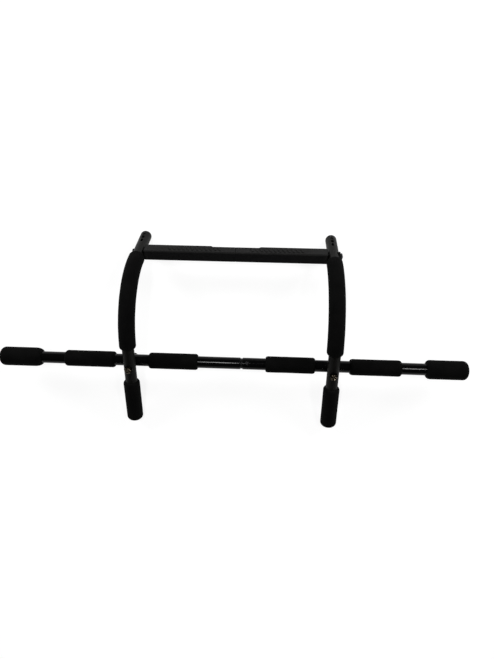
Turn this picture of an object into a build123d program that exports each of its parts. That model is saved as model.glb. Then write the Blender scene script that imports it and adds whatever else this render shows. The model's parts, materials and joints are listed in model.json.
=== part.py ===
"""Over-the-door pull-up bar, lying on its handle ends and its arm ends.

X runs along the long bar, Y from the handles towards the trim bar, Z up from the floor.
The frame's origin is on the floor, under the middle. Millimetres and degrees.
"""

import os
from math import asin, atan2, cos, degrees, hypot, radians, sin, sqrt, tan

from build123d import *

os.makedirs("parts", exist_ok=True)

# Steel tube of the long bar and the arms
tube_diameter = 25.4
tube_wall = 1.5
plug_clearance = 0.1
foam_clearance = 0.15

# Long bar, measured over its end pads
bar_length = 1010.0
joint_offset = 21.5
joint_gap = 4.0
joint_chamfer = 1.0
coupling_length = 160.0
coupling_wall = 2.0
coupling_screw_offset = 12.0
coupling_screw_diameter = 4.8
coupling_screw_head = 7.5
coupling_screw_head_height = 2.0
coupling_screw_length = 9.0

# Foam on the long bar: walls outside the tube, and the bare lengths left between the pieces
grip_wall = 5.0
grip_round = 4.4
inner_grip_start = 73.0
inner_grip_to_arm = 36.1
outer_grip_to_arm = 37.8
outer_grip_to_pad = 52.5
pad_wall = 8.0
pad_length = 91.0
pad_end_wall = 8.0
pad_outer_round = 10.0
pad_inner_round = 6.5

# Arms: a straight handle, a bend and a straight leg
arm_spacing = 430.2
handle_length = 178.0
bend_radius = 152.5
bend_angle = 79.5
leg_length = 118.0
bar_from_handle_foam = 36.5
saddle_gap = 1.0
bend_foam_margin = 2.0
bend_foam_on_leg = 6.0
bend_foam_round = 4.4
handle_foam_length = 98.5
handle_foam_end_wall = 6.0
handle_foam_end_round = 7.0
arm_slot_from_end = 28.0
arm_slot_length = 23.0
arm_slot_width = 6.5
arm_low_slot_from_end = 49.0
arm_low_slot_length = 12.0
arm_low_slot_width = 5.0

# Plugs and caps in the tube ends
plug_depth = 18.0
plug_head = 2.0
cap_head = 8.0
cap_round = 7.0

# Bolts that clamp the arms on the long bar
bolt_diameter = 8.0
bolt_hole_clearance = 0.2
bolt_head_width = 13.0
bolt_head_height = 5.3
bolt_end_chamfer = 0.8
nut_height = 6.8
nut_collar_height = 1.6
nut_collar_inset = 0.8
bolt_beyond_nut = 2.0
saddle_diameter = 20.0
saddle_washer_diameter = 18.0
saddle_washer_crest = 1.5
saddle_clearance = 0.05

# Trim bar that hooks over the door trim, and its through axle
trim_from_arm_end = 81.5
trim_core_height = 23.0
trim_core_wall = 1.5
trim_core_inner_round = 1.0
trim_face_wall = 3.05
trim_edge_wall = 3.4
trim_corner_round = 3.0
trim_side_gap = 0.3
trim_seam_gap = 0.4
trim_seam_chamfer = 0.5
trim_notch_length = 112.0
trim_notch_depth = 2.75
trim_notch_ramp = 5.0
trim_pad_thickness = 2.5
trim_pad_width = 17.0
trim_pad_proud = 0.5
trim_pad_margin = 8.0
bush_wall = 3.2
bush_flange = 1.5
bush_flange_inset = 1.0
bush_depth = 22.0
bush_running_clearance = 0.05
axle_head_diameter = 14.0
axle_head_crest = 1.6
axle_saddle_diameter = 22.0
axle_saddle_crest = 1.2
axle_nut_height = 5.0
axle_beyond_nut = 1.0

# Sizes that follow from those above
tube_radius = tube_diameter / 2
tube_bore = tube_radius - tube_wall
plug_radius = tube_bore - plug_clearance
foam_bore = tube_radius + foam_clearance
grip_diameter = tube_diameter + 2 * grip_wall
pad_diameter = tube_diameter + 2 * pad_wall
arm_to_bar = tube_diameter + saddle_gap
bar_crossing = handle_foam_length + bar_from_handle_foam
hole_radius = bolt_diameter / 2 + bolt_hole_clearance
half_spacing = arm_spacing / 2
half_trim = half_spacing - tube_radius - trim_side_gap
inner_grip_end = half_spacing - inner_grip_to_arm
outer_grip_start = half_spacing + outer_grip_to_arm
outer_grip_end = bar_length / 2 - pad_length - outer_grip_to_pad
bush_bore = bolt_diameter + 2 * bush_running_clearance
bush_thickness = bush_bore + 2 * bush_wall
core_bore_thickness = bush_thickness + 2 * plug_clearance
core_bore_height = trim_core_height - 2 * trim_core_wall
trim_core_thickness = core_bore_thickness + 2 * trim_core_wall
trim_core_round = trim_core_inner_round + trim_core_wall
trim_thickness = trim_core_thickness + 2 * (plug_clearance + trim_face_wall)
trim_height = trim_core_height + 2 * (plug_clearance + trim_edge_wall)
sides = {"left": -1, "right": 1}


def along(point, heading, distance):
    """Move a point of the arm's plane by a distance in a direction."""
    y, z = point
    return y + distance * cos(radians(heading)), z + distance * sin(radians(heading))


# The arm in its own plane first: the handle's foam end at the origin, the handle along +y.
handle_end_own = (0.0, 0.0)
bend_start_own = along(handle_end_own, 0, handle_length)
bend_centre_own = along(bend_start_own, -90, bend_radius)
bend_end_own = along(bend_centre_own, 90 - bend_angle, bend_radius)
leg_end_own = along(bend_end_own, -bend_angle, leg_length)


def end_corners(end, heading, radius, corner):
    """Centres of the rounded corners, below and above, of a tube's end that points along the heading."""
    middle = along(end, heading, -corner)
    return [along(middle, heading + turn, radius - corner) for turn in (-90, 90)]


# Both ends stand on the floor, so the floor is tangent to the lower rounded corner of each.
handle_top, handle_low = end_corners(handle_end_own, 180, grip_diameter / 2, handle_foam_end_round)
leg_low, leg_top = end_corners(leg_end_own, -bend_angle, tube_radius, cap_round)
span_y = leg_low[0] - handle_low[0]
span_z = leg_low[1] - handle_low[1]
lean = degrees(asin((cap_round - handle_foam_end_round) / hypot(span_y, span_z)))
rest_tilt = lean - degrees(atan2(span_z, span_y))


def tilted(point):
    """Turn a point of the arm's own plane to the way the arm lies on the floor."""
    y, z = point
    c, s = cos(radians(rest_tilt)), sin(radians(rest_tilt))
    return y * c - z * s, y * s + z * c


front_y = min(tilted(corner)[0] for corner in (handle_low, handle_top)) - handle_foam_end_round
back_y = max(tilted(corner)[0] for corner in (leg_low, leg_top)) + cap_round
floor_z = tilted(handle_low)[1] - handle_foam_end_round


def placed(point):
    """A point of the arm's own plane as Y and Z of the part's frame."""
    y, z = tilted(point)
    return y - (front_y + back_y) / 2, z - floor_z


handle_heading = rest_tilt
leg_heading = rest_tilt - bend_angle
handle_end = placed(handle_end_own)
bend_start = placed(bend_start_own)
bend_centre = placed(bend_centre_own)
bend_end = placed(bend_end_own)
leg_end = placed(leg_end_own)
crossing = along(handle_end, handle_heading, bar_crossing)
bar_axis = along(crossing, handle_heading - 90, arm_to_bar)
pivot = along(leg_end, leg_heading, -trim_from_arm_end)


def tube_end(x, point, heading):
    """Plane square to a tube that runs in the direction of the heading."""
    direction = along((0, 0), heading, 1)
    return Plane(origin=(x, *point), x_dir=(1, 0, 0), z_dir=(0, *direction))


def bar_plane(x, side):
    """Plane square to the long bar that looks outwards on the given side."""
    return Plane(origin=(x, *bar_axis), x_dir=(0, 1, 0), z_dir=(side, 0, 0))


def bolt_plane(side, height):
    """Plane square to an arm bolt, at a height above the long bar's axis."""
    point = along(bar_axis, handle_heading + 90, height)
    return tube_end(side * half_spacing, point, handle_heading + 90)


def trim_section(x):
    """Cross-section plane of the trim bar: x towards the arm's end, y out of the bend."""
    direction = along((0, 0), leg_heading, 1)
    return Plane(origin=(x, *pivot), x_dir=(0, *direction), z_dir=(1, 0, 0))


def far_edges(part, plane):
    """Outermost edges of the face that lies furthest along the plane's normal."""
    axis = Axis(plane.origin, plane.z_dir)
    return part.faces().sort_by(axis)[-1].outer_wire().edges()


def near_edges(part, plane):
    """Outermost edges of the face that lies first along the plane's normal."""
    axis = Axis(plane.origin, plane.z_dir)
    return part.faces().sort_by(axis)[0].outer_wire().edges()


def keep(builder, name):
    """Name a finished piece and write its file."""
    builder.part.label = name
    export_step(builder.part, f"parts/{name}.step")


def foam_piece(name, plane, length, diameter, near_round, far_round, end_wall=0.0):
    """Foam sleeve along a plane's normal, closed at its far end where it has an end wall."""
    with BuildPart(plane) as foam:
        Cylinder(diameter / 2, length, align=(Align.CENTER, Align.CENTER, Align.MIN))
        fillet(near_edges(foam.part, plane), near_round)
        fillet(far_edges(foam.part, plane), far_round)
        bore_length = length - end_wall if end_wall else length
        Cylinder(foam_bore, bore_length, align=(Align.CENTER, Align.CENTER, Align.MIN), mode=Mode.SUBTRACT)
    keep(foam, name)


def tube_plug(name, plane, head, head_round):
    """Plug pushed into a tube that ends at the plane, with a head outside the tube."""
    with BuildPart(plane) as plug:
        Cylinder(tube_radius, head, align=(Align.CENTER, Align.CENTER, Align.MIN))
        fillet(far_edges(plug.part, plane), head_round)
        Cylinder(plug_radius, plug_depth, align=(Align.CENTER, Align.CENTER, Align.MAX))
        chamfer(near_edges(plug.part, plane), tube_wall / 2)
    keep(plug, name)


# Long bar: two tubes that meet a little to the right of the middle
tube_outer_end = bar_length / 2 - pad_end_wall - plug_head
screw_x = joint_offset + coupling_screw_offset
screw_seat = Plane(origin=(screw_x, bar_axis[0], bar_axis[1] + tube_radius), z_dir=(0, 0, 1))

for name, side in sides.items():
    inner_end = joint_offset + side * joint_gap / 2
    inner_plane = bar_plane(inner_end, side)
    tube_length = abs(side * tube_outer_end - inner_end)
    with BuildPart() as bar_tube:
        with BuildSketch(inner_plane):
            Circle(tube_radius)
        extrude(amount=tube_length)
        chamfer(near_edges(bar_tube.part, inner_plane), joint_chamfer)
        with BuildSketch(inner_plane):
            Circle(tube_bore)
        extrude(amount=tube_length, mode=Mode.SUBTRACT)
        with Locations(bolt_plane(side, 0)):
            Cylinder(hole_radius, 2 * tube_diameter, mode=Mode.SUBTRACT)
        if side > 0:
            with Locations(screw_seat):
                Cylinder(coupling_screw_diameter / 2 + plug_clearance, tube_diameter, mode=Mode.SUBTRACT)
    keep(bar_tube, f"{name}_bar_tube")

with BuildPart() as bar_coupling:
    with BuildSketch(bar_plane(joint_offset - coupling_length / 2, 1)):
        Circle(plug_radius)
        Circle(plug_radius - coupling_wall, mode=Mode.SUBTRACT)
    extrude(amount=coupling_length)
    with Locations(screw_seat):
        Cylinder(coupling_screw_diameter / 2 + plug_clearance, tube_diameter, mode=Mode.SUBTRACT)
keep(bar_coupling, "bar_coupling")

with BuildPart(screw_seat) as coupling_screw:
    Cylinder(
        coupling_screw_head / 2,
        coupling_screw_head_height,
        align=(Align.CENTER, Align.CENTER, Align.MIN),
    )
    fillet(far_edges(coupling_screw.part, screw_seat), coupling_screw_head_height * 0.7)
    with BuildSketch(screw_seat.offset(coupling_screw_head_height)):
        RegularPolygon(coupling_screw_head / 5, 6)
    extrude(amount=-coupling_screw_head_height * 0.6, mode=Mode.SUBTRACT)
    Cylinder(
        coupling_screw_diameter / 2,
        coupling_screw_length,
        align=(Align.CENTER, Align.CENTER, Align.MAX),
    )
keep(coupling_screw, "coupling_screw")

# Foam and end plugs of the long bar
for name, side in sides.items():
    tube_plug(f"{name}_bar_plug", bar_plane(side * tube_outer_end, side), plug_head, plug_head * 0.4)
    pad_start = bar_plane(side * (bar_length / 2 - pad_length), side)
    foam_piece(
        f"{name}_end_pad", pad_start, pad_length, pad_diameter, pad_inner_round, pad_outer_round, pad_end_wall
    )
    for place, start, end in (
        ("inner", inner_grip_start, inner_grip_end),
        ("outer", outer_grip_start, outer_grip_end),
    ):
        grip_plane = bar_plane(side * start, side)
        foam_piece(f"{name}_{place}_grip", grip_plane, end - start, grip_diameter, grip_round, grip_round)

# Arms
handle_tube_end = along(handle_end, handle_heading, handle_foam_end_wall + plug_head)
leg_tube_end = along(leg_end, leg_heading, -cap_head)
bend_foam_turn = bend_angle - degrees(bend_foam_margin / bend_radius)
bend_foam_heading = leg_heading + bend_foam_turn
bend_foam_start = along(bend_centre, bend_foam_heading + 90, bend_radius)
bend_foam_end = along(bend_end, leg_heading, bend_foam_on_leg)
handle_foam_start = along(handle_end, handle_heading, handle_foam_length)

for name, side in sides.items():
    x = side * half_spacing
    with BuildPart() as arm_tube:
        with BuildLine(Plane.YZ.offset(x)) as centreline:
            Line(handle_tube_end, bend_start)
            CenterArc(bend_centre, bend_radius, handle_heading + 90, -bend_angle)
            Line(bend_end, leg_tube_end)
        with BuildSketch(tube_end(x, handle_tube_end, handle_heading)):
            Circle(tube_radius)
            Circle(tube_bore, mode=Mode.SUBTRACT)
        sweep(path=centreline.wire())
        with Locations(bolt_plane(side, arm_to_bar)):
            Cylinder(hole_radius, 2 * tube_diameter, mode=Mode.SUBTRACT)
        with Locations(tube_end(x, pivot, leg_heading)):
            Cylinder(hole_radius, 2 * tube_diameter, rotation=(0, 90, 0), mode=Mode.SUBTRACT)
        for from_end, slot_length, slot_width in (
            (arm_slot_from_end, arm_slot_length, arm_slot_width),
            (arm_low_slot_from_end, arm_low_slot_length, arm_low_slot_width),
        ):
            slot_centre = along(leg_end, leg_heading, -from_end)
            with BuildSketch(tube_end(x, slot_centre, leg_heading + 90)):
                SlotOverall(slot_length, slot_width, rotation=90)
            extrude(amount=tube_diameter, mode=Mode.SUBTRACT)
    keep(arm_tube, f"{name}_arm_tube")

    with BuildPart() as bend_foam:
        with BuildSketch(tube_end(x, bend_foam_start, bend_foam_heading)):
            Circle(grip_diameter / 2)
            Circle(foam_bore, mode=Mode.SUBTRACT)
        revolve(axis=Axis((x, *bend_centre), (-1, 0, 0)), revolution_arc=bend_foam_turn)
        with BuildSketch(tube_end(x, bend_foam_end, leg_heading)):
            Circle(grip_diameter / 2)
            Circle(foam_bore, mode=Mode.SUBTRACT)
        extrude(amount=-bend_foam_on_leg)
        foam_ends = bend_foam.faces().filter_by(GeomType.PLANE)
        fillet([end.outer_wire().edge() for end in foam_ends], bend_foam_round)
    keep(bend_foam, f"{name}_bend_foam")

    handle_plane = tube_end(x, handle_foam_start, handle_heading + 180)
    foam_piece(
        f"{name}_handle_grip",
        handle_plane,
        handle_foam_length,
        grip_diameter,
        grip_round,
        handle_foam_end_round,
        handle_foam_end_wall,
    )
    handle_plug_plane = tube_end(x, handle_tube_end, handle_heading + 180)
    tube_plug(f"{name}_handle_plug", handle_plug_plane, plug_head, plug_head * 0.4)
    tube_plug(f"{name}_arm_cap", tube_end(x, leg_tube_end, leg_heading), cap_head, cap_round)

# Saddles, bolts and nuts that hold the arms on the long bar
arm_top = arm_to_bar + tube_radius
head_seat = arm_top + saddle_washer_crest
nut_seat = -tube_radius - saddle_washer_crest
bolt_length = head_seat - nut_seat + nut_height + bolt_beyond_nut


def turn_corners(face, width):
    """Turn a hexagon's corners down at 30 degrees, from a face that looks out of it."""
    slope = tan(radians(30))
    start, above, reach = 0.475 * width, width / 10, width / 5
    with BuildSketch(Plane(origin=face.origin, x_dir=face.x_dir, z_dir=-face.y_dir)) as ring:
        with BuildLine():
            Polyline(
                (start - above, above * slope),
                (start + reach, -reach * slope),
                (start + reach, above * slope),
                close=True,
            )
        make_face()
    revolve(ring.sketch, axis=Axis(face.origin, face.z_dir), mode=Mode.SUBTRACT)


def cut_round_tube(direction, centre_plane):
    """Hollow a saddle to lie on a tube that runs through the plane's origin."""
    with Locations(Plane(origin=centre_plane.origin, z_dir=direction)):
        Cylinder(tube_radius + saddle_clearance, 4 * tube_diameter, mode=Mode.SUBTRACT)


arm_direction = (0, *along((0, 0), handle_heading, 1))
leg_direction = (0, *along((0, 0), leg_heading, 1))
bar_direction = (1, 0, 0)

for name, side in sides.items():
    with BuildPart() as saddle:
        with Locations(bolt_plane(side, arm_to_bar / 2)):
            Cylinder(saddle_diameter / 2, tube_diameter)
            Cylinder(hole_radius, 2 * tube_diameter, mode=Mode.SUBTRACT)
        cut_round_tube(arm_direction, bolt_plane(side, arm_to_bar))
        cut_round_tube(bar_direction, bolt_plane(side, 0))
    keep(saddle, f"{name}_saddle")

    head_plane = bolt_plane(side, head_seat)
    with BuildPart() as arm_bolt:
        with BuildSketch(head_plane):
            RegularPolygon(bolt_head_width / 2, 6, major_radius=False)
        extrude(amount=bolt_head_height)
        turn_corners(bolt_plane(side, head_seat + bolt_head_height), bolt_head_width)
        with BuildSketch(head_plane):
            Circle(bolt_diameter / 2)
        extrude(amount=-bolt_length)
        chamfer(near_edges(arm_bolt.part, head_plane), bolt_end_chamfer)
    keep(arm_bolt, f"{name}_arm_bolt")

with BuildPart() as bolt_head_washers:
    for side in sides.values():
        with Locations(bolt_plane(side, head_seat)):
            Cylinder(
                saddle_washer_diameter / 2, tube_radius, align=(Align.CENTER, Align.CENTER, Align.MAX)
            )
            Cylinder(hole_radius, 2 * tube_diameter, mode=Mode.SUBTRACT)
        cut_round_tube(arm_direction, bolt_plane(side, arm_to_bar))
keep(bolt_head_washers, "bolt_head_washers")

with BuildPart() as bolt_nut_washers:
    for side in sides.values():
        with Locations(bolt_plane(side, nut_seat)):
            Cylinder(
                saddle_washer_diameter / 2, tube_radius, align=(Align.CENTER, Align.CENTER, Align.MIN)
            )
            Cylinder(hole_radius, 2 * tube_diameter, mode=Mode.SUBTRACT)
        cut_round_tube(bar_direction, bolt_plane(side, 0))
keep(bolt_nut_washers, "bolt_nut_washers")

with BuildPart() as arm_nuts:
    for side in sides.values():
        hexagon_end = nut_seat - nut_height + nut_collar_height
        with BuildSketch(bolt_plane(side, nut_seat)):
            RegularPolygon(bolt_head_width / 2, 6, major_radius=False)
        extrude(amount=hexagon_end - nut_seat)
        below = bolt_plane(side, hexagon_end)
        turn_corners(Plane(origin=below.origin, x_dir=below.x_dir, z_dir=-below.z_dir), bolt_head_width)
        with BuildSketch(below):
            Circle(bolt_head_width / 2 - nut_collar_inset)
        extrude(amount=-nut_collar_height)
        with BuildSketch(bolt_plane(side, nut_seat)):
            Circle(bolt_diameter / 2 + saddle_clearance)
        extrude(amount=-nut_height, mode=Mode.SUBTRACT)
keep(arm_nuts, "arm_nuts")

# Trim bar: steel core, moulded cover, rubber strip and a bush in each end
core_end = half_trim - bush_flange
trim_low = -trim_height / 2
pad_centre = trim_low - trim_pad_proud + trim_pad_thickness / 2
# The notch takes the edge off the far outer corner, so it is drawn on a plane that looks along that corner.
notch_face = tube_end(0, pivot, leg_heading + 45 + 90)
corner_reach = (trim_height / 2 + trim_thickness / 2 - 2 * trim_corner_round) * sqrt(0.5) + trim_corner_round

with BuildPart() as trim_core:
    with BuildSketch(trim_section(-core_end)):
        RectangleRounded(trim_core_height, trim_core_thickness, trim_core_round)
        RectangleRounded(
            core_bore_height, core_bore_thickness, trim_core_inner_round, mode=Mode.SUBTRACT
        )
    extrude(amount=2 * core_end)
keep(trim_core, "trim_core")

# The cover is two mouldings that slide on the core from its ends and meet in the middle.
for name, side in sides.items():
    seam = trim_section(side * trim_seam_gap / 2)
    cover_length = core_end - trim_seam_gap / 2
    with BuildPart() as trim_cover:
        with BuildSketch(seam):
            RectangleRounded(trim_height, trim_thickness, trim_corner_round)
        extrude(amount=side * cover_length)
        seam_face = trim_cover.faces().sort_by(Axis.X)[0 if side > 0 else -1]
        chamfer(seam_face.outer_wire().edges(), trim_seam_chamfer)
        with BuildSketch(seam):
            RectangleRounded(
                trim_core_height + 2 * plug_clearance,
                trim_core_thickness + 2 * plug_clearance,
                trim_core_round,
            )
        extrude(amount=side * cover_length, mode=Mode.SUBTRACT)
        with BuildSketch(notch_face):
            with BuildLine():
                Polyline(
                    (0, corner_reach - trim_notch_depth),
                    (side * (trim_notch_length / 2 - trim_notch_ramp), corner_reach - trim_notch_depth),
                    (side * trim_notch_length / 2, corner_reach),
                    (side * trim_notch_length / 2, trim_height),
                    (0, trim_height),
                    close=True,
                )
            make_face()
        extrude(amount=trim_thickness, both=True, mode=Mode.SUBTRACT)
        with BuildSketch(seam):
            with Locations((pad_centre, 0)):
                Rectangle(trim_pad_thickness, trim_pad_width)
        extrude(amount=side * (cover_length - trim_pad_margin), mode=Mode.SUBTRACT)
    keep(trim_cover, f"{name}_trim_cover")

with BuildPart() as trim_pad:
    with BuildSketch(trim_section(-core_end + trim_pad_margin + plug_clearance)):
        with Locations((pad_centre, 0)):
            Rectangle(trim_pad_thickness, trim_pad_width - 2 * plug_clearance)
    extrude(amount=2 * (core_end - trim_pad_margin - plug_clearance))
keep(trim_pad, "trim_pad")

for name, side in sides.items():
    with BuildPart() as bush:
        with BuildSketch(trim_section(side * core_end)):
            RectangleRounded(
                trim_height - 2 * bush_flange_inset,
                trim_thickness - 2 * bush_flange_inset,
                trim_corner_round - bush_flange_inset,
            )
        extrude(amount=side * bush_flange)
        with BuildSketch(trim_section(side * core_end)):
            Rectangle(core_bore_height - 2 * trim_core_wall, bush_thickness)
        extrude(amount=-side * bush_depth)
        with Locations(trim_section(side * core_end)):
            Cylinder(bush_bore / 2, 4 * bush_depth, mode=Mode.SUBTRACT)
    keep(bush, f"{name}_trim_bush")

# Axle through both arms and the trim bar
arm_outside = half_spacing + tube_radius
axle_nut_seat = arm_outside + axle_saddle_crest
axle_right_end = axle_nut_seat + axle_nut_height + axle_beyond_nut

with BuildPart() as trim_axle:
    with BuildSketch(trim_section(-arm_outside - axle_head_crest)):
        Circle(axle_head_diameter / 2)
    extrude(amount=tube_radius)
    with BuildSketch(trim_section(-arm_outside - axle_head_crest)):
        Circle(bolt_diameter / 2)
    cut_round_tube(leg_direction, trim_section(-half_spacing))
    extrude(amount=arm_outside + axle_head_crest + axle_right_end)
    head_rim = trim_axle.edges().filter_by(GeomType.CIRCLE).sort_by(Axis.X)[0]
    fillet(head_rim, axle_head_crest * 0.7)
    chamfer(far_edges(trim_axle.part, trim_section(0)), bolt_end_chamfer)
keep(trim_axle, "trim_axle")

with BuildPart() as axle_saddle_washer:
    with BuildSketch(trim_section(axle_nut_seat)):
        Circle(axle_saddle_diameter / 2)
        Circle(hole_radius, mode=Mode.SUBTRACT)
    extrude(amount=-tube_radius)
    cut_round_tube(leg_direction, trim_section(half_spacing))
keep(axle_saddle_washer, "axle_saddle_washer")

with BuildPart() as axle_nut:
    with BuildSketch(trim_section(axle_nut_seat)):
        RegularPolygon(bolt_head_width / 2, 6, major_radius=False)
        Circle(bolt_diameter / 2 + saddle_clearance, mode=Mode.SUBTRACT)
    extrude(amount=axle_nut_height)
    turn_corners(trim_section(axle_nut_seat + axle_nut_height), bolt_head_width)
keep(axle_nut, "axle_nut")

print(f"handle rises {handle_heading:.2f} degrees, leg falls {-leg_heading:.2f} degrees")
print(f"long bar axis at Y {bar_axis[0]:.2f}, Z {bar_axis[1]:.2f}")
print(f"trim bar pivot at Y {pivot[0]:.2f}, Z {pivot[1]:.2f}")
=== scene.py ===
"""Over-the-door pull-up bar: foam, finishes, studio and camera on its fixed frame.

Metres, radians and linear colours.
"""
import json
from math import cos, pi, radians, sin

import bpy
import numpy as np
from bpy.props import FloatProperty, FloatVectorProperty, IntProperty, PointerProperty
from bpy.types import NodeSocket, Operator, Panel, PropertyGroup
from mathutils import Euler, Matrix, Vector, noise

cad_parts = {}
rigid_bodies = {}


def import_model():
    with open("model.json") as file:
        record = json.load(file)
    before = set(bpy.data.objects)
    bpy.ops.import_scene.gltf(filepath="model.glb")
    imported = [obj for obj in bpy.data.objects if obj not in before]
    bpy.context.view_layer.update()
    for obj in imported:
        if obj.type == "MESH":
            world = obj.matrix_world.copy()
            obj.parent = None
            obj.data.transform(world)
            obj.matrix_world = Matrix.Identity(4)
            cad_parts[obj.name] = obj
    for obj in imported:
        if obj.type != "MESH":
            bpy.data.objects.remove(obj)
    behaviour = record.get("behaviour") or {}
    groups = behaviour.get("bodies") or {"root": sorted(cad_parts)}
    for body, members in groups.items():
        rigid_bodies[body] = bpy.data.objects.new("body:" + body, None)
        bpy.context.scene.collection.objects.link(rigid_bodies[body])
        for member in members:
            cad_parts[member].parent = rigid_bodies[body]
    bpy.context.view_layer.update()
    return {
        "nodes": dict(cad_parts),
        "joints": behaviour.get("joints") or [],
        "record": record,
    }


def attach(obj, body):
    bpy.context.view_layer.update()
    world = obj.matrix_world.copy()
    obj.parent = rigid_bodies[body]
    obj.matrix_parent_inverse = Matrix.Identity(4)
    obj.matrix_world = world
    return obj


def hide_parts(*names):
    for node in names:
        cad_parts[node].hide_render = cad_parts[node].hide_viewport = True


bl_info = {
    "name": "Over-the-Door Pull-Up Bar",
    "version": (1, 0, 0),
    "blender": (4, 5, 0),
    "location": "View3D > Sidebar > Pull-Up Bar",
    "description": "Foam, finishes and studio for an over-the-door pull-up bar",
    "category": "Object",
}

for leftover in list(bpy.data.objects):
    bpy.data.objects.remove(leftover)
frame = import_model()

SIDES = {"left": -1, "right": 1}
SIDEWAYS = Vector((1, 0, 0))
LEDGE = next(m for m in frame["record"]["mounts"] if m["name"] == "trim_ledge_strip")
LEG_DIRECTION = -Vector(LEDGE["axis"])
TRIM_PIVOT = Vector(frame["joints"][0]["pos_m"])


# ---------------------------------------------------------------- sizes and colours


def length(name, description, default):
    """A size in metres."""
    return FloatProperty(
        name=name, description=description, default=default, unit="LENGTH", precision=5
    )


def colour(name, description, default):
    """A linear colour."""
    return FloatVectorProperty(
        name=name, description=description, default=default, subtype="COLOR", size=3, min=0, max=1
    )


def share(name, description, default):
    """A number from 0 to 1."""
    return FloatProperty(
        name=name, description=description, default=default, min=0, max=1, subtype="FACTOR"
    )


def strength(name, description, default):
    """A lamp's power in watts."""
    return FloatProperty(name=name, description=description, default=default, min=0, unit="POWER")


class FoamSettings(PropertyGroup):
    """Sizes and colours of the foam sleeves and pads."""

    bend_radius: length("Bend radius", "Radius of the arm's centreline in its bend", 0.1525)
    bend_angle: FloatProperty(
        name="Bend angle", description="Turn of each arm's bend",
        default=radians(79.5), subtype="ANGLE",
    )
    bore_radius: length("Bore radius", "Inside radius of every foam piece", 0.01285)
    rim_length: length("Rim length", "Length of the rounding at the sleeves' rims", 0.0058)
    rim_depth: length("Rim depth", "Depth of the rounding at the sleeves' rims", 0.0040)
    leg_rim_length: length(
        "Leg rim length", "Length of the rounding at the bend sleeves' leg rims", 0.0022
    )
    leg_rim_depth: length(
        "Leg rim depth", "Depth of the rounding at the bend sleeves' leg rims", 0.0012
    )
    left_creep: length(
        "Left creep", "Length by which the left bend sleeve has crept down its leg", 0.0055
    )
    right_creep: length(
        "Right creep", "Length by which the right bend sleeve has crept down its leg", 0.0020
    )
    handle_round: length("Handle round", "Rounding of the handles' closed ends", 0.0072)
    pad_round: length("Pad round", "Rounding of the end pads' closed ends", 0.0090)
    pad_rim_length: length(
        "Pad rim length", "Length of the rounding at the right pad's rim", 0.0080
    )
    pad_taper_length: length(
        "Pad taper length", "Length of the rounding at the left pad's rim", 0.0160
    )
    pad_rim_depth: length("Pad rim depth", "Depth of the rounding at the pads' rims", 0.0067)
    bore_round: length("Bore round", "Rounding where a rim turns into the bore", 0.0006)
    handle_wall: length("Handle wall", "Foam beyond the handle's tube", 0.006)
    right_press: length(
        "Right press", "Length by which the right pad's closed end is pressed in", 0.0040
    )
    pad_wall: length("Pad wall", "Foam beyond the long bar's tube", 0.008)
    end_dome: length("End dome", "Rise of a closed end towards its middle", 0.0012)
    swell: length("Swell", "Depth of the slow unevenness of the skin", 0.00042)
    ripple: length("Ripple", "Depth of the small unevenness of the skin", 0.00014)
    crease: length("Crease", "Depth of the creases on the inside of the bends", 0.0007)
    crease_pitch: length("Crease pitch", "Distance between those creases", 0.0078)
    ring_pitch: length("Ring pitch", "Distance between the mesh rings along the foam", 0.0018)
    segments: IntProperty(
        name="Segments", description="Mesh points around the foam", default=72, min=24
    )
    skin: colour("Skin", "Foam skin", (0.0019, 0.0019, 0.0019))
    worn_skin: colour("Worn skin", "Foam skin where it is rubbed", (0.0040, 0.0039, 0.0038))
    cut: colour("Cut face", "Foam at the sleeves' cut ends", (0.0070, 0.0070, 0.0070))
    cell: length("Cell", "Size of the foam's cells", 0.0011)


class SteelSettings(PropertyGroup):
    """Colours of the tubes and the fasteners."""

    enamel: colour("Enamel", "Gloss black of the long bar", (0.0020, 0.0020, 0.0021))
    enamel_dust: colour("Enamel dust", "Fine dust on the gloss black", (0.0070, 0.0070, 0.0072))
    coat: colour("Coat", "Charcoal coat of the arms", (0.0030, 0.0029, 0.0026))
    coat_grain: colour("Coat grain", "High grain of the arms' coat", (0.0074, 0.0071, 0.0065))
    zinc: colour("Zinc", "Yellow plating of the bolts and nuts", (0.095, 0.081, 0.060))
    zinc_stain: colour("Zinc stain", "Browned plating", (0.026, 0.021, 0.014))
    blackened: colour(
        "Blackened steel", "Coupling, screw, axle and its nut", (0.012, 0.012, 0.0125)
    )
    bare: colour("Bare steel", "Core of the trim bar", (0.44, 0.44, 0.45))


class PlasticSettings(PropertyGroup):
    """Colours of the mouldings, and the ribs on the trim bar."""

    cover: colour("Cover", "Moulded cover of the trim bar", (0.0090, 0.0089, 0.0088))
    cover_scuff: colour("Cover scuff", "Rubbed places of the cover", (0.0190, 0.0190, 0.0186))
    cap: colour("Arm cap", "Domed caps of the arms", (0.0056, 0.0055, 0.0051))
    small: colour("Small plastics", "Saddles, washers, plugs and bushes", (0.0016, 0.0016, 0.0016))
    rubber: colour("Rubber", "Strip on the trim bar", (0.0042, 0.0042, 0.0043))
    rib_start: length("Rib start", "First rib's distance from the trim bar's middle", 0.036)
    rib_end: length("Rib end", "Last rib's distance from the trim bar's middle", 0.146)
    rib_count: IntProperty(name="Ribs", description="Ribs on each cover", default=12, min=2)
    rib_length: length("Rib length", "Length of a rib across the cover", 0.0138)
    rib_width: length("Rib width", "Width of a rib", 0.0042)
    rib_rise: length("Rib rise", "Height of a rib over the cover", 0.0012)
    rib_shift: length(
        "Rib shift", "Distance of the ribs from the cover's middle line, towards the bend", 0.0015
    )
    rib_slant: FloatProperty(
        name="Rib slant", description="Lean of the ribs", default=radians(22), subtype="ANGLE"
    )


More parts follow.
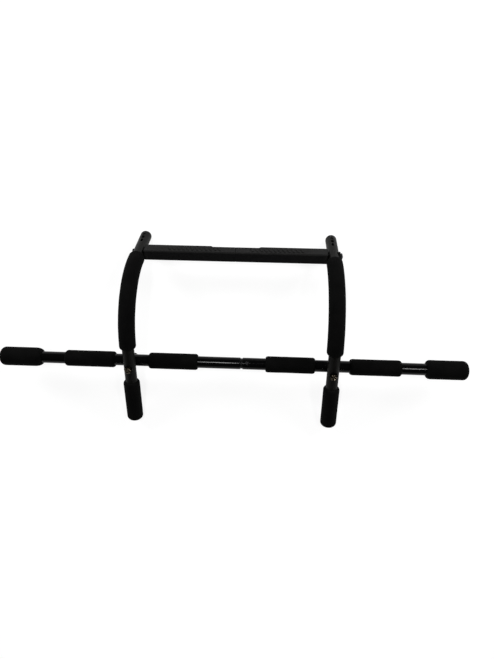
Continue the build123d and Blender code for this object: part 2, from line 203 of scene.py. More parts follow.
class StudioSettings(PropertyGroup):
    """Floor, light and camera."""

    floor_size: length("Floor size", "Width of the floor", 14.0)
    floor: colour("Floor", "Colour that the floor gives back to the object", (0.40, 0.40, 0.40))
    floor_glow: share("Floor glow", "White that the floor shows by itself", 0.86)
    glow_near: length("Glow near", "Distance at which the floor's own white starts to rise", 1.2)
    glow_far: length("Glow far", "Distance at which the floor is all white", 4.5)
    floor_shade: share("Floor shade", "Share of the floor's white that takes shadows", 0.20)
    side_box: strength("Side boxes", "Soft boxes beyond the trim bar, left and right", 72.0)
    long_strip: strength("Long strip", "Strip lamp over the middle of the long bar", 15.0)
    short_strip: strength("Short strip", "Strip lamp beyond the long bar's right end", 10.0)
    glint: strength("Glint lamps", "Small lamps that the bolt heads mirror", 0.6)
    sky: share("Sky", "Light of the room on the object", 0.30)
    flag_height: length("Flag height", "Height of the black cloth over the set", 2.6)
    flag_near: length("Flag near side", "Reach of the black cloth on the handles' side", 13.0)
    flag_far: length(
        "Flag far side", "Reach of the black cloth beyond the trim bar and to the sides", 7.0
    )
    lens: FloatProperty(name="Lens", description="Focal length for a 36 mm frame", default=27.90)
    camera_place: FloatVectorProperty(
        name="Camera place", description="Where the camera stands", subtype="TRANSLATION",
        unit="LENGTH", precision=4, default=(0.0737, -0.1292, 1.1670),
    )
    camera_turn: FloatVectorProperty(
        name="Camera turn", description="How the camera is turned", subtype="EULER",
        default=(radians(6.200), radians(2.020), radians(1.959)),
    )


# ---------------------------------------------------------------- places on the frame


def points_of(node):
    """A frame node's points as an array."""
    mesh = frame["nodes"][node].data
    points = np.zeros(len(mesh.vertices) * 3, np.float32)
    mesh.vertices.foreach_get("co", points)
    return points.reshape(-1, 3).astype(float)


def turned(direction, angle):
    """A direction of the arm's plane, turned up by an angle."""
    return Matrix.Rotation(angle, 3, "X") @ direction


class StraightRun:
    """Axis, length and radius of a round node that runs in a direction."""

    def __init__(self, node, direction):
        points = points_of(node)
        self.forward = np.array(direction, float)
        side = SIDEWAYS if abs(direction.x) < 0.5 else Vector((0, 1, 0))
        self.side = np.array(side, float)
        self.up = np.cross(self.side, self.forward)
        ahead, across, above = (points @ axis for axis in (self.forward, self.side, self.up))
        self.length = ahead.max() - ahead.min()
        self.radius = (above.max() - above.min()) / 2
        self.start = (
            self.forward * ahead.min()
            + self.side * (across.max() + across.min()) / 2
            + self.up * (above.max() + above.min()) / 2
        )

    def at(self, distance):
        """Point, sideways and upward direction at a distance along the run."""
        return self.start + self.forward * distance, self.side, self.up


class BendRun:
    """Arc of an arm's bend under its foam, from the handle's straight run to a little way down
    the leg, and further by as much as the foam has crept."""

    def __init__(self, node, handle, leg, radius, angle, creep):
        points = points_of(node)
        lean = handle.forward @ leg.up
        reach = (leg.start - handle.start) @ leg.up - radius + radius * (handle.up @ leg.up)
        self.centre = handle.start + handle.forward * (reach / lean) - handle.up * radius
        self.bend, self.first, self.last = radius, handle, leg
        rise = points - self.centre
        self.begin = np.arctan2(rise @ handle.forward, rise @ handle.up).min()
        self.turn = (angle - self.begin) * radius
        self.leg_start = self.centre + leg.up * radius
        self.length = self.turn + ((points - self.leg_start) @ leg.forward).max() + creep
        self.radius = np.ptp(points[:, 0]) / 2

    def at(self, distance):
        """Point, sideways and outward direction at a distance along the arc and the leg."""
        if distance > self.turn:
            down_leg = self.last.forward * (distance - self.turn)
            return self.leg_start + down_leg, self.first.side, self.last.up
        angle = self.begin + distance / self.bend
        out = self.first.up * cos(angle) + self.first.forward * sin(angle)
        return self.centre + out * self.bend, self.first.side, out


# ---------------------------------------------------------------- foam

# Mesh rings across a cut face, round a rim, over a closed end, along the bore and at its mouth
FACE_RINGS, RIM_RINGS, END_RINGS, BORE_RINGS, MOUTH_RINGS = 4, 10, 9, 5, 4

# Waves per metre of the skin's unevenness, and the two slow waves' shares
SLOW_WAVES, SLOW_SHARE = 38, 0.65
MIDDLE_WAVES, MIDDLE_SHARE = 90, 0.35
SMALL_WAVES = 260
SEED_STEPS = (1.7, 0.9, 2.3)

# Creases inside a bend: how far round to the inside they start, how they deepen from there, the
# length over which they fade at the sleeve's ends, and how they wander
CREASE_START, CREASE_GROWTH, CREASE_FADE = 0.15, 1.3, 0.03
WANDER, WANDER_ALONG, WANDER_AROUND = 0.55, 60, 1.2

# Radius that counts as the axis, foam round the bore that stays even, share of the radius that
# is a closed end's flat, and share of the unevenness that a cut face takes
ON_AXIS, EVEN_WALL, FLAT_SHARE, CUT_SHARE = 1e-6, 0.001, 0.75, 0.8

# First seed of each kind of foam piece, and the step to its cut faces' seed
GRIP_SEED, PAD_SEED, BEND_SEED, HANDLE_SEED, CUT_SEED = 1, 7, 11, 21, 5


def arc(centre, length, depth, start, end, steps):
    """Points of a rounding in the profile's plane, from one angle to another."""
    angles = np.linspace(start, end, steps)
    return [(centre[0] + length * cos(a), centre[1] + depth * sin(a)) for a in angles]


def sleeve_profile(run, rim, far_rim, wall, dome, foam):
    """Closed outline of a foam piece: distance along the run, radius, skin share and cut share."""
    bore, small = foam.bore_radius, foam.bore_round
    top, end = run.radius, run.length
    (near_length, near_depth), (far_length, far_depth) = rim, far_rim
    near_top, far_top = top - near_depth, top - far_depth
    mouth = bore + small
    outline = [(0.0, r, 0.0, 1.0) for r in np.linspace(mouth, near_top, FACE_RINGS)]
    near = arc((near_length, near_top), near_length, near_depth, pi, pi / 2, RIM_RINGS)
    outline += [(s, r, 1.0, 0.0) for s, r in near[1:]]
    rings = int((end - near_length - far_length) / foam.ring_pitch)
    middle = np.linspace(near_length, end - far_length, rings)[1:-1]
    outline += [(s, top, 1.0, 0.0) for s in middle]
    far = arc((end - far_length, far_top), far_length, far_depth, pi / 2, 0, RIM_RINGS)
    outline += [(s, r, 1.0, 0.0) for s, r in far]
    if wall:
        outline += [(end, r, 1.0, 0.0) for r in np.linspace(far_top, 0.0, END_RINGS)[1:]]
        outline = [
            (s - dome * (r / top) ** 2 * (s > end / 2), r, skin, cut)
            for s, r, skin, cut in outline
        ]
        outline += [(end - wall, r, 0.0, 0.0) for r in (0.0, bore - small, bore)]
        bore_end = end - wall
    else:
        outline += [(end, r, 0.0, 1.0) for r in np.linspace(far_top, mouth, FACE_RINGS)[1:]]
        far_mouth = arc((end - small, mouth), small, small, 0, -pi / 2, MOUTH_RINGS)
        outline += [(s, r, 0.0, 0.5) for s, r in far_mouth[1:]]
        bore_end = end - small
    outline += [(s, bore, 0.0, 0.0) for s in np.linspace(bore_end, small, BORE_RINGS)[1:]]
    near_mouth = arc((small, mouth), small, small, -pi / 2, -pi, MOUTH_RINGS)
    outline += [(s, r, 0.0, 0.5) for s, r in near_mouth[1:-1]]
    return outline


def uneven(point, seed, foam):
    """Depth of the foam's slow and small unevenness at a point."""
    shifted = Vector(point) + Vector([seed * step for step in SEED_STEPS])
    slow = noise.noise(shifted * SLOW_WAVES) * SLOW_SHARE
    slow += noise.noise(shifted * MIDDLE_WAVES) * MIDDLE_SHARE
    small = noise.noise(shifted * SMALL_WAVES)
    return foam.swell * (0.5 + 0.5 * slow) + foam.ripple * (0.5 + 0.5 * small)


def creased(distance, angle, seed, run, foam):
    """Depth of the creases where the inside of a bend is pressed together."""
    inside = max(0.0, -sin(angle) - CREASE_START) / (1 - CREASE_START)
    fade = min(1.0, distance / CREASE_FADE, (run.length - distance) / CREASE_FADE)
    place = Vector((distance * WANDER_ALONG, angle * WANDER_AROUND, seed))
    wander = WANDER * noise.noise(place) * 2 * pi
    wave = 0.5 - 0.5 * cos(2 * pi * distance / foam.crease_pitch + wander)
    return foam.crease * inside**CREASE_GROWTH * max(fade, 0.0) * wave**2


def foam_ring(row, run, seed, bend, foam):
    """Points round the run for one row of a foam piece's outline, sunk where it is uneven."""
    s, r, skin, cut = row
    centre, side, up = run.at(s)
    if r < ON_AXIS:
        return [centre]
    onward = -np.cross(side, up)
    points = []
    for k in range(foam.segments):
        angle = 2 * pi * k / foam.segments
        out = side * cos(angle) + up * sin(angle)
        point = centre + out * r
        sink = uneven(point, seed, foam) * (skin if r > foam.bore_radius + EVEN_WALL else 0.0)
        if bend:
            sink += creased(s, angle, seed, run, foam) * skin
        on_flat = skin and r < run.radius * FLAT_SHARE
        point = point - (onward if on_flat else out) * sink
        if cut == 1.0:
            inwards = 1 if s < run.length / 2 else -1
            point = point + onward * inwards * uneven(point, seed + CUT_SEED, foam) * CUT_SHARE
        points.append(point)
    return points


def closed_faces(rings, count):
    """Faces from each ring of point numbers to the next, and from the last to the first."""
    faces = []
    for a, b in zip(rings, rings[1:] + rings[:1]):
        if len(a) == 1 and len(b) == 1:
            continue
        for k in range(count):
            n = (k + 1) % count
            if len(a) == 1:
                faces.append((a[0], b[k], b[n]))
            elif len(b) == 1:
                faces.append((a[n], a[k], b[0]))
            else:
                faces.append((a[n], a[k], b[k], b[n]))
    return faces


def foam_piece(name, node, run, seed, rim, far_rim, wall=0.0, dome=0.0, bend=False):
    """Model a foam sleeve or pad in the place of its plain solid."""
    foam = bpy.context.scene.pull_up_foam
    verts, cuts, rings = [], [], []
    for row in sleeve_profile(run, rim, far_rim, wall, dome, foam):
        points = foam_ring(row, run, seed, bend, foam)
        rings.append(range(len(verts), len(verts) + len(points)))
        verts += [tuple(point) for point in points]
        cuts += [row[-1]] * len(points)
    mesh = bpy.data.meshes.new(name)
    mesh.from_pydata(verts, [], closed_faces(rings, foam.segments))
    mesh.attributes.new("cut_face", "FLOAT", "POINT").data.foreach_set("value", cuts)
    mesh.shade_smooth()
    mesh.validate()
    piece = bpy.data.objects.new(name, mesh)
    bpy.context.scene.collection.objects.link(piece)
    piece.data.materials.append(foam_finish())
    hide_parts(node)
    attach(piece, "frame")


# ---------------------------------------------------------------- finishes

# Places of the colours among the Mix node's sockets
FIRST_COLOUR, SECOND_COLOUR, MIXED_COLOUR = 6, 7, 2


def add(tree, kind, inputs=None, **settings):
    """Add a shader node with its settings and its input values or links."""
    made = tree.nodes.new(kind)
    for key, value in settings.items():
        setattr(made, key, value)
    for key, value in (inputs or {}).items():
        if isinstance(value, NodeSocket):
            tree.links.new(value, made.inputs[key])
        else:
            made.inputs[key].default_value = value
    return made


def start_finish(name, **values):
    """New material: its tree, its shader and the object's own coordinates."""
    material = bpy.data.materials.new(name)
    material.use_nodes = True
    tree = material.node_tree
    shader = tree.nodes["Principled BSDF"]
    for key, value in values.items():
        shader.inputs[key.replace("_", " ")].default_value = value
    place = tree.nodes.new("ShaderNodeTexCoord").outputs["Object"]
    return material, tree, shader, place


def lay_on(tree, shader, tone, rough, bump):
    """Link a finish's colour, roughness and bump to its shader."""
    tree.links.new(tone, shader.inputs["Base Color"])
    tree.links.new(rough, shader.inputs["Roughness"])
    tree.links.new(bump, shader.inputs["Normal"])


def toned(colour, times):
    """A colour made paler or darker."""
    return tuple(times * c for c in colour)


def grain(tree, place, scale, detail=2.0, stretch=None):
    """Noise of a scale per metre, drawn out along an axis where asked."""
    if stretch:
        mapping = add(tree, "ShaderNodeMapping", {"Vector": place, "Scale": stretch})
        place = mapping.outputs["Vector"]
    inputs = {"Vector": place, "Scale": scale, "Detail": detail}
    return add(tree, "ShaderNodeTexNoise", inputs).outputs["Fac"]


def between(tree, value, low, high, start=0.35, end=0.65):
    """Spread a value's range, or a noise's middle range, over two values."""
    inputs = {"Value": value, "From Min": start, "From Max": end, "To Min": low, "To Max": high}
    return add(tree, "ShaderNodeMapRange", inputs).outputs["Result"]


def blended(tree, amount, first, second):
    """Colour between two colours."""
    first, second = (c if isinstance(c, NodeSocket) else (*c, 1.0) for c in (first, second))
    inputs = {"Factor": amount, FIRST_COLOUR: first, SECOND_COLOUR: second}
    return add(tree, "ShaderNodeMix", inputs, data_type="RGBA").outputs[MIXED_COLOUR]


def relief(tree, height, depth, amount=1.0, under=None):
    """Bump of a depth in metres, over another bump where there is one."""
    inputs = {"Height": height, "Distance": depth, "Strength": amount}
    if under:
        inputs["Normal"] = under
    return add(tree, "ShaderNodeBump", inputs).outputs["Normal"]


def sums(tree, operation, first, second):
    """Two values put together."""
    return add(tree, "ShaderNodeMath", {0: first, 1: second}, operation=operation).outputs[0]


def foam_finish():
    """Matt black closed-cell foam, with fine cells, rubbed skin and paler cut ends."""
    if "black_foam_skin" in bpy.data.materials:
        return bpy.data.materials["black_foam_skin"]
    foam = bpy.context.scene.pull_up_foam
    material, tree, shader, place = start_finish("black_foam_skin", Specular_IOR_Level=0.03)
    cells_per_metre, pores_per_cell = 1 / foam.cell, 0.55
    voronoi = add(tree, "ShaderNodeTexVoronoi", {"Vector": place, "Scale": cells_per_metre})
    pores = grain(tree, place, scale=pores_per_cell / foam.cell, detail=3.0)
    patches = grain(tree, place, scale=42, detail=3.0)
    cut = add(tree, "ShaderNodeAttribute", attribute_name="cut_face").outputs["Fac"]
    rubbed = sums(
        tree, "MULTIPLY",
        between(tree, patches, low=0.1, high=1.0), between(tree, pores, low=0.15, high=1.0),
    )
    skin = blended(tree, rubbed, foam.skin, foam.worn_skin)
    tone = blended(tree, cut, skin, foam.cut)
    rough = between(tree, pores, low=0.74, high=0.93)
    skin_relief = relief(tree, voronoi.outputs["Distance"], depth=0.00022, amount=0.55)
    bump = relief(tree, pores, depth=0.0004, amount=0.45, under=skin_relief)
    lay_on(tree, shader, tone, rough, bump)
    return material


def enamel_finish():
    """Gloss black enamel, with hair scratches, slow waves and a little dust."""
    steel = bpy.context.scene.pull_up_steel
    material, tree, shader, place = start_finish("gloss_black_enamel", Specular_IOR_Level=0.09)
    scratches = grain(tree, place, scale=60, stretch=(1.0, 26.0, 26.0))
    waves = grain(tree, place, scale=55)
    dust = grain(tree, place, scale=1900)
    settled = sums(
        tree, "MULTIPLY",
        between(tree, waves, low=0.1, high=1.0),
        between(tree, dust, low=0.0, high=1.0, start=0.52, end=0.72),
    )
    tone = blended(tree, settled, steel.enamel, steel.enamel_dust)
    rough = sums(
        tree, "ADD",
        between(tree, scratches, low=0.075, high=0.095), between(tree, waves, low=0.0, high=0.02),
    )
    peel = relief(tree, grain(tree, place, scale=300, detail=1.0), depth=0.00005, amount=0.06)
    bump = relief(tree, waves, depth=0.0003, amount=0.05, under=peel)
    lay_on(tree, shader, tone, rough, bump)
    return material


def coat_finish(name, low, high):
    """Charcoal textured coat, with fine grain and rubbed streaks."""
    material, tree, shader, place = start_finish(name, Specular_IOR_Level=0.055)
    fine = grain(tree, place, scale=1500, detail=3.0)
    streaks = grain(tree, place, scale=70, detail=3.0, stretch=(1.0, 0.35, 0.35))
    amount = sums(
        tree, "MULTIPLY",
        between(tree, fine, low=0.1, high=1.0), between(tree, streaks, low=0.35, high=1.0),
    )
    tone = blended(tree, amount, low, high)
    rough = sums(
        tree, "ADD",
        between(tree, streaks, low=0.34, high=0.44), between(tree, fine, low=0.0, high=0.10),
    )
    lay_on(tree, shader, tone, rough, relief(tree, fine, depth=0.00018, amount=0.5))
    return material


def cover_finish():
    """Satin moulded plastic, with spark grain, flow streaks and scuffs."""
    plastic = bpy.context.scene.pull_up_plastic
    material, tree, shader, place = start_finish("moulded_cover", Specular_IOR_Level=0.06)
    spark = grain(tree, place, scale=1800)
    flow = grain(tree, place, scale=28, detail=4.0, stretch=(0.5, 1.6, 1.6))
    scuffs = grain(tree, place, scale=160, detail=4.0, stretch=(0.25, 2.2, 2.2))
    marks = sums(
        tree, "MULTIPLY",
        between(tree, scuffs, low=0.0, high=1.0, start=0.52, end=0.74),
        between(tree, flow, low=0.3, high=1.0),
    )
    tone = blended(tree, marks, plastic.cover, plastic.cover_scuff)
    rough = sums(
        tree, "ADD",
        between(tree, flow, low=0.54, high=0.66),
        between(tree, marks, low=0.0, high=0.12, start=0.0, end=1.0),
    )
    flow_relief = relief(tree, flow, depth=0.0005, amount=0.2)
    bump = relief(tree, spark, depth=0.00012, amount=0.5, under=flow_relief)
    lay_on(tree, shader, tone, rough, bump)
    return material


def small_plastic_finish():
    """Plain black plastic of the small parts, with a fine moulded grain."""
    plastic = bpy.context.scene.pull_up_plastic
    material, tree, shader, place = start_finish("small_black_plastic", Specular_IOR_Level=0.03)
    fine = grain(tree, place, scale=2200)
    slow = grain(tree, place, scale=130, detail=3.0)
    pale = toned(plastic.small, times=2.1)
    tone = blended(tree, between(tree, slow, low=0.0, high=0.8), plastic.small, pale)
    rough = between(tree, slow, low=0.36, high=0.52)
    lay_on(tree, shader, tone, rough, relief(tree, fine, depth=0.0001, amount=0.4))
    return material


def rubber_finish():
    """Matt black rubber with fine lines along the strip."""
    plastic = bpy.context.scene.pull_up_plastic
    material, tree, shader, place = start_finish("strip_rubber", Specular_IOR_Level=0.06)
    lines = grain(tree, place, scale=90, detail=1.0, stretch=(0.05, 14.0, 14.0))
    slow = grain(tree, place, scale=220, detail=3.0)
    pale = toned(plastic.rubber, times=2.0)
    tone = blended(tree, between(tree, slow, low=0.0, high=0.9), plastic.rubber, pale)
    rough = between(tree, slow, low=0.66, high=0.86)
    lay_on(tree, shader, tone, rough, relief(tree, lines, depth=0.0003, amount=0.4))
    return material


def metal_finish(name, base, stain, smooth, dull, stretch=None, depth=0.0001):
    """Plated, blackened or bare steel with stains and fine tool marks."""
    material, tree, shader, place = start_finish(name, Metallic=1.0)
    marks = grain(tree, place, scale=420, detail=3.0, stretch=stretch)
    stains = grain(tree, place, scale=150, detail=4.0)
    tone = blended(tree, between(tree, stains, low=0.0, high=1.0), base, stain)
    rough = sums(
        tree, "ADD",
        between(tree, marks, low=smooth, high=dull), between(tree, stains, low=0.0, high=0.12),
    )
    lay_on(tree, shader, tone, rough, relief(tree, marks, depth=depth, amount=0.3))
    return material


def coat_nodes(material, *names):
    """Give frame nodes a finish in place of their plain colour."""
    for name in names:
        node = frame["nodes"][name]
        node.data.materials.clear()
        node.data.materials.append(material)


def on_both_sides(*names):
    """Names of a left and a right node for each name."""
    return [f"{side}_{name}" for name in names for side in SIDES]


# ---------------------------------------------------------------- ribs on the trim bar

# Steps round a rib's end, depth of its foot inside the cover, and its section from the foot up
# as shares of its width and rise
RIB_STEPS, RIB_FOOT = 8, 0.0003
RIB_SECTION = ((1.0, 0.55), (0.93, 0.82), (0.8, 0.97), (0.55, 1.0))


def add_rib(verts, faces, middle, outwards, plastic):
    """Add one slanting rib with rounded ends, a bevelled rim and a foot just inside the cover."""
    lean = sin(plastic.rib_slant) / cos(plastic.rib_slant)
    across, along = SIDEWAYS, -LEG_DIRECTION
    half, straight = plastic.rib_width / 2, (plastic.rib_length - plastic.rib_width) / 2
    first = len(verts)
    outline = []
    for end, turn in ((1, 0), (-1, pi)):
        for k in range(RIB_STEPS + 1):
            angle = turn + pi * k / RIB_STEPS
            outline.append((cos(angle), sin(angle), end))
    levels = [(1.0, -RIB_FOOT)]
    levels += [(width, plastic.rib_rise * rise) for width, rise in RIB_SECTION]
    for width, height in levels:
        for c, s, end in outline:
            u, v = half * width * c, end * straight + half * width * s
            verts.append(middle + across * (u + v * lean) + along * v + outwards * height)
    count = len(outline)
    for level in range(len(levels) - 1):
        for k in range(count):
            a, b = first + level * count + k, first + level * count + (k + 1) % count
            faces.append((b, a, a + count, b + count))
    top = first + (len(levels) - 1) * count
    faces.append(tuple(reversed(range(top, top + count))))
    faces.append(tuple(range(first, first + count)))


# ---------------------------------------------------------------- studio

# Drop of the floor under the object, so that the two don't share a plane
FLOOR_DROP = 0.0003

# Dark and pale threads of the black cloth
CLOTH_DARK, CLOTH_PALE = (0.008, 0.008, 0.008), (0.012, 0.012, 0.012)

# Sizes and places of the lamps, and the points that they face
SIDE_BOX_SIZE, SIDE_BOX_PLACE, SIDE_BOX_AIM = (1.3, 1.3), (2.7, 1.7, 1.8), (0, 0.05, 0.05)
LONG_STRIP_SIZE, LONG_STRIP_X = (0.25, 0.45), -0.241
SHORT_STRIP_SIZE, SHORT_STRIP_X = (0.16, 0.45), 1.033
STRIP_Y, STRIP_HEIGHT = -0.08, 2.35
GLINT_SIZE = (0.05, 0.05)
GLINT_PLACES = {"left": (-0.805, -2.109, 0.971), "right": (0.503, -2.109, 0.971)}
BOLT_HEAD = (0.215, -0.109, 0.098)

# Film width in millimetres, and the nearest and furthest distance that the camera sees
FILM_WIDTH, CLIP_NEAR, CLIP_FAR = 36.0, 0.01, 60.0


def seen_rays(tree):
    """1 for rays that show a thing in the picture, in a reflection or through glass."""
    rays = tree.nodes.new("ShaderNodeLightPath").outputs
    seen = sums(tree, "MAXIMUM", rays["Is Camera Ray"], rays["Is Glossy Ray"])
    return sums(tree, "MAXIMUM", seen, rays["Is Transmission Ray"])


def floor_finish(studio):
    """Pale floor that shows as white and keeps a soft shadow."""
    material = bpy.data.materials.new("pale_floor")
    material.use_nodes = True
    tree = material.node_tree
    tree.nodes.clear()
    place = tree.nodes.new("ShaderNodeTexCoord").outputs["Object"]
    dull = toned(studio.floor, times=0.98)
    tone = blended(tree, grain(tree, place, scale=3.0), dull, studio.floor)
    plain = add(tree, "ShaderNodeBsdfDiffuse", {"Color": tone}).outputs[0]
    shade_colour = (*[studio.floor_shade] * 3, 1)
    shade = add(tree, "ShaderNodeBsdfDiffuse", {"Color": shade_colour}).outputs[0]
    reach = add(tree, "ShaderNodeVectorMath", {0: place}, operation="LENGTH").outputs["Value"]
    fade = between(tree, reach, studio.floor_glow, 1.0, studio.glow_near, studio.glow_far)
    glow = add(tree, "ShaderNodeEmission", {"Strength": fade}).outputs[0]
    white = add(tree, "ShaderNodeAddShader", {0: shade, 1: glow}).outputs[0]
    mix = add(tree, "ShaderNodeMixShader", {0: seen_rays(tree), 1: plain, 2: white}).outputs[0]
    add(tree, "ShaderNodeOutputMaterial", {"Surface": mix})
    return material


def cloth_finish():
    """Black cloth of the flag."""
    material, tree, shader, place = start_finish(
        "black_cloth", Specular_IOR_Level=0.0, Roughness=1.0
    )
    tone = blended(tree, grain(tree, place, scale=6.0), CLOTH_DARK, CLOTH_PALE)
    tree.links.new(tone, shader.inputs["Base Color"])
    return material


def flat_sheet(scene, name, corners, height, material):
    """Flat sheet of the stage, with its corners in order around it."""
    mesh = bpy.data.meshes.new(name)
    mesh.from_pydata([(x, y, 0) for x, y in corners], [], [tuple(range(len(corners)))])
    sheet = bpy.data.objects.new(name, mesh)
    sheet.location.z = height
    scene.collection.objects.link(sheet)
    sheet.data.materials.append(material)
    return sheet


def lay_floor(scene, studio):
    """Floor under the object."""
    half = studio.floor_size / 2
    corners = [(-half, -half), (half, -half), (half, half), (-half, half)]
    flat_sheet(scene, "floor", corners, -FLOOR_DROP, floor_finish(studio))


def hang_flag(scene, studio):
    """Black cloth over the set, which keeps the gloss black dark on top."""
    near, far = studio.flag_near, studio.flag_far
    corners = [(-far, -near), (-far, far), (far, far), (far, -near)]
    flag = flat_sheet(scene, "black_flag", corners, studio.flag_height, cloth_finish())
    flag.visible_camera = False


def lamp(scene, name, power, size, place, target):
    """Soft rectangular lamp that faces a point."""
    light = bpy.data.lights.new(name, "AREA")
    light.shape, light.energy = "RECTANGLE", power
    light.size, light.size_y = size
    holder = bpy.data.objects.new(name, light)
    holder.location = place
    holder.rotation_euler = (Vector(target) - Vector(place)).to_track_quat("-Z", "Y").to_euler()
    scene.collection.objects.link(holder)


def hang_lamps(scene, studio):
    """Side boxes, strips over the long bar, and glint lamps for the bolt heads."""
    for name, side in SIDES.items():
        x, y, z = SIDE_BOX_PLACE
        place = (x * side, y, z)
        lamp(scene, f"{name}_side_box", studio.side_box, SIDE_BOX_SIZE, place, SIDE_BOX_AIM)
    for name, power, size, x in (
        ("long_strip", studio.long_strip, LONG_STRIP_SIZE, LONG_STRIP_X),
        ("short_strip", studio.short_strip, SHORT_STRIP_SIZE, SHORT_STRIP_X),
    ):
        lamp(scene, name, power, size, (x, STRIP_Y, STRIP_HEIGHT), (x, STRIP_Y, 0.0))
    for name, side in SIDES.items():
        x, y, z = BOLT_HEAD
        head = (x * side, y, z)
        lamp(scene, f"{name}_glint", studio.glint, GLINT_SIZE, GLINT_PLACES[name], head)


def sky(scene, studio):
    """Room that lights the object evenly and shows as white behind it."""
    world = bpy.data.worlds.new("studio_sky")
    world.use_nodes = True
    scene.world = world
    tree = world.node_tree
    backdrop = tree.nodes["Background"]
    brightness = sums(tree, "MAXIMUM", seen_rays(tree), studio.sky)
    tree.links.new(brightness, backdrop.inputs["Strength"])
    backdrop.inputs["Color"].default_value = (1, 1, 1, 1)


def stand_camera(scene, studio):
    """Camera at the place from which the object is looked at."""
    view = bpy.data.cameras.new("camera")
    view.lens, view.sensor_width, view.sensor_fit = studio.lens, FILM_WIDTH, "AUTO"
    view.clip_start, view.clip_end = CLIP_NEAR, CLIP_FAR
    camera = bpy.data.objects.new("camera", view)
    camera.location = studio.camera_place
    camera.rotation_euler = Euler(studio.camera_turn, "XYZ")
    scene.collection.objects.link(camera)
    scene.camera = camera


# ---------------------------------------------------------------- operators


class PULLUPBAR_OT_bar_foam(Operator):
    """Model the grips and end pads of the long bar"""

    bl_idname = "pullupbar.bar_foam"
    bl_label = "Long Bar Foam"

    def execute(self, context):
        foam = context.scene.pull_up_foam
        rim = (foam.rim_length, foam.rim_depth)
        closed = (foam.pad_round, foam.pad_round)
        rim_lengths = {"left": foam.pad_taper_length, "right": foam.pad_rim_length}
        presses = {"left": 0.0, "right": foam.right_press}
        for k, (name, side) in enumerate(SIDES.items()):
            outwards = SIDEWAYS * side
            for step, place in enumerate(("inner", "outer")):
                node = f"{name}_{place}_grip"
                seed = GRIP_SEED + k + len(SIDES) * step
                foam_piece(f"{node}_foam", node, StraightRun(node, outwards), seed, rim, rim)
            node = f"{name}_end_pad"
            pad_rim = (rim_lengths[name], foam.pad_rim_depth)
            run = StraightRun(node, outwards)
            run.length -= presses[name]
            wall = foam.pad_wall - presses[name]
            foam_piece(
                f"{node}_foam", node, run, PAD_SEED + k, pad_rim, closed, wall, foam.end_dome
            )
        return {"FINISHED"}


class PULLUPBAR_OT_arm_foam(Operator):
    """Model the foam on the arms' bends and handles"""

    bl_idname = "pullupbar.arm_foam"
    bl_label = "Arm Foam"

    def execute(self, context):
        foam = context.scene.pull_up_foam
        rim = (foam.rim_length, foam.rim_depth)
        leg_rim = (foam.leg_rim_length, foam.leg_rim_depth)
        creeps = {"left": foam.left_creep, "right": foam.right_creep}
        closed = (foam.handle_round, foam.handle_round)
        handle_direction = turned(LEG_DIRECTION, foam.bend_angle)
        for k, name in enumerate(SIDES):
            handle = StraightRun(f"{name}_handle_grip", handle_direction)
            leg = StraightRun(f"{name}_arm_cap", LEG_DIRECTION)
            node = f"{name}_bend_foam"
            bend = BendRun(node, handle, leg, foam.bend_radius, foam.bend_angle, creeps[name])
            foam_piece(f"{node}_sleeve", node, bend, BEND_SEED + k, rim, leg_rim, bend=True)
            grip = StraightRun(f"{name}_handle_grip", -handle_direction)
            foam_piece(
                f"{name}_handle_foam", f"{name}_handle_grip", grip, HANDLE_SEED + k,
                rim, closed, foam.handle_wall, foam.end_dome,
            )
        return {"FINISHED"}


class PULLUPBAR_OT_tubes(Operator):
    """Finish the long bar's tubes, the arms, their caps and the trim bar's core"""

    bl_idname = "pullupbar.tubes"
    bl_label = "Tubes"

    def execute(self, context):
        steel, plastic = context.scene.pull_up_steel, context.scene.pull_up_plastic
        coat_nodes(enamel_finish(), *on_both_sides("bar_tube"))
        coat = coat_finish("charcoal_arm_coat", steel.coat, steel.coat_grain)
        coat_nodes(coat, *on_both_sides("arm_tube"))
        cap = coat_finish("arm_cap_plastic", plastic.cap, toned(plastic.cap, times=1.7))
        coat_nodes(cap, *on_both_sides("arm_cap"))
        bare = metal_finish(
            "bare_steel", steel.bare, toned(steel.bare, times=0.7), smooth=0.28, dull=0.42,
            stretch=(0.2, 3.0, 3.0),
        )
        coat_nodes(bare, "trim_core")
        return {"FINISHED"}


class PULLUPBAR_OT_fasteners(Operator):
    """Finish the bolts, nuts, coupling, screw, axle, saddles, washers, bushes and plugs"""

    bl_idname = "pullupbar.fasteners"
    bl_label = "Fasteners"

    def execute(self, context):
        steel = context.scene.pull_up_steel
        zinc = metal_finish(
            "zinc_plate", steel.zinc, steel.zinc_stain, smooth=0.18, dull=0.30, depth=0.0006
        )
        coat_nodes(zinc, "arm_nuts", *on_both_sides("arm_bolt"))
        pale = toned(steel.blackened, times=1.8)
        black = metal_finish("blackened_steel", steel.blackened, pale, smooth=0.34, dull=0.50)
        coat_nodes(black, "bar_coupling", "coupling_screw", "trim_axle", "axle_nut")
        coat_nodes(
            small_plastic_finish(), "bolt_head_washers", "bolt_nut_washers", "axle_saddle_washer",
            *on_both_sides("bar_plug", "handle_plug", "saddle", "trim_bush"),
        )
        return {"FINISHED"}


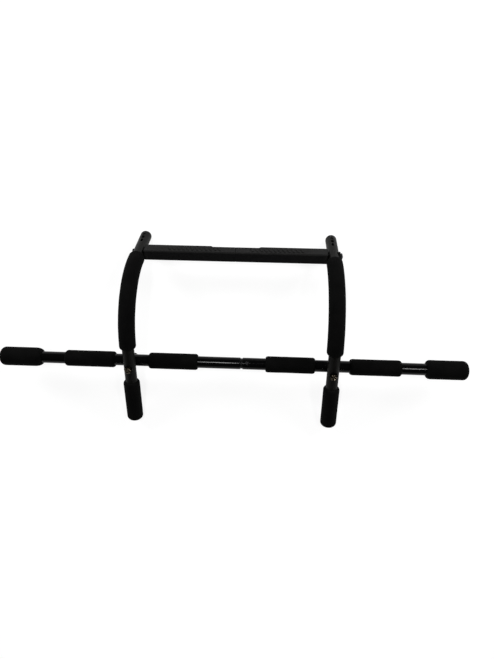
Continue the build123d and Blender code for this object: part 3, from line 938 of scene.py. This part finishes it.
class PULLUPBAR_OT_trim_bar(Operator):
    """Finish the trim bar's covers and strip, and add the ribs on its outer face"""

    bl_idname = "pullupbar.trim_bar"
    bl_label = "Trim Bar"

    def execute(self, context):
        plastic = context.scene.pull_up_plastic
        cover = cover_finish()
        coat_nodes(cover, *on_both_sides("trim_cover"))
        coat_nodes(rubber_finish(), "trim_pad")
        outwards = turned(LEG_DIRECTION, pi / 2)
        reach, gaps = plastic.rib_end - plastic.rib_start, plastic.rib_count - 1
        for name, side in SIDES.items():
            heights = points_of(f"{name}_trim_cover") @ np.array(outwards)
            face = heights.max() - TRIM_PIVOT @ outwards
            origin = TRIM_PIVOT + outwards * face - LEG_DIRECTION * plastic.rib_shift
            mesh = bpy.data.meshes.new(f"{name}_trim_ribs")
            verts, faces = [], []
            for k in range(plastic.rib_count):
                along = plastic.rib_start + reach * k / gaps
                add_rib(verts, faces, origin + SIDEWAYS * side * along, outwards, plastic)
            mesh.from_pydata([tuple(v) for v in verts], [], faces)
            mesh.shade_smooth()
            ribs = bpy.data.objects.new(f"{name}_trim_ribs", mesh)
            context.scene.collection.objects.link(ribs)
            ribs.data.materials.append(cover)
            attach(ribs, "trim_bar")
        return {"FINISHED"}


class PULLUPBAR_OT_studio(Operator):
    """Set the floor, the lamps, the black cloth, the sky and the camera"""

    bl_idname = "pullupbar.studio"
    bl_label = "Studio"

    def execute(self, context):
        studio, scene = context.scene.pull_up_studio, context.scene
        scene.view_settings.view_transform = "Standard"
        for part in (lay_floor, hang_lamps, hang_flag, sky, stand_camera):
            part(scene, studio)
        return {"FINISHED"}


# ---------------------------------------------------------------- panel and registering


class PULLUPBAR_PT_panel(Panel):
    """Pull-up bar in the 3D view's sidebar"""

    bl_idname = "PULLUPBAR_PT_panel"
    bl_label = "Pull-Up Bar"
    bl_space_type = "VIEW_3D"
    bl_region_type = "UI"
    bl_category = "Pull-Up Bar"

    def draw(self, context):
        for operator in OPERATORS:
            self.layout.operator(operator.bl_idname)
        for key in SETTINGS:
            box = self.layout.box()
            settings = getattr(context.scene, key)
            for prop in settings.__annotations__:
                box.prop(settings, prop)


SETTINGS = {
    "pull_up_foam": FoamSettings,
    "pull_up_steel": SteelSettings,
    "pull_up_plastic": PlasticSettings,
    "pull_up_studio": StudioSettings,
}
OPERATORS = (
    PULLUPBAR_OT_bar_foam,
    PULLUPBAR_OT_arm_foam,
    PULLUPBAR_OT_tubes,
    PULLUPBAR_OT_fasteners,
    PULLUPBAR_OT_trim_bar,
    PULLUPBAR_OT_studio,
)


def register():
    """Register the settings, the operators and the panel."""
    for key, settings in SETTINGS.items():
        bpy.utils.register_class(settings)
        setattr(bpy.types.Scene, key, PointerProperty(type=settings))
    for made in (*OPERATORS, PULLUPBAR_PT_panel):
        bpy.utils.register_class(made)


def unregister():
    """Take them away again."""
    for made in reversed((*OPERATORS, PULLUPBAR_PT_panel)):
        bpy.utils.unregister_class(made)
    for key, settings in SETTINGS.items():
        delattr(bpy.types.Scene, key)
        bpy.utils.unregister_class(settings)


def main():
    register()
    bpy.ops.pullupbar.bar_foam()
    bpy.ops.pullupbar.arm_foam()
    bpy.ops.pullupbar.tubes()
    bpy.ops.pullupbar.fasteners()
    bpy.ops.pullupbar.trim_bar()
    bpy.ops.pullupbar.studio()


if __name__ == "__main__":
    main()
